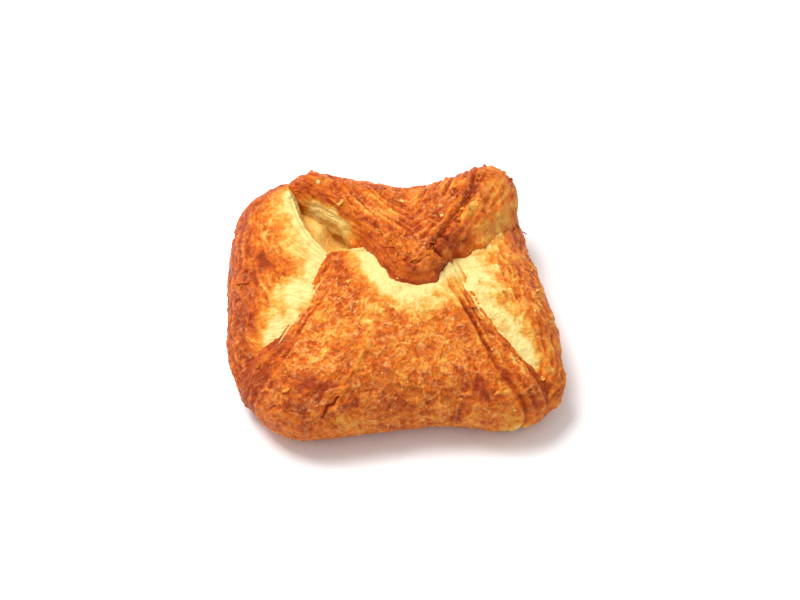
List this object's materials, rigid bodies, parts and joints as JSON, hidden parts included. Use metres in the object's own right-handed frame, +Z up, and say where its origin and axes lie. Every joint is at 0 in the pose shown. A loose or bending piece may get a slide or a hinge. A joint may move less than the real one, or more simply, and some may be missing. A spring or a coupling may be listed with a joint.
{
  "type": "turnover pastry",
  "caption": "Baked turnover of laminated dough: the corners of a square folded to the middle like an envelope, with a puffed golden crust.",
  "frame": {"origin": "middle of the underside, on the surface that the pastry rests on, centred on its box", "axes": "+Z up; +X along the pastry's longest side, to the right of someone looking at the front flap; +Y away from the front flap towards the back flap"},
  "size_m": [0.1043, 0.0934, 0.038],
  "materials": {
    "crust": "baked flaky crust, lightly glazed, golden to red-brown with pale cream seams"
  },
  "bodies": {
    "root": {"turnover": "crust"}
  },
  "joints": []
}
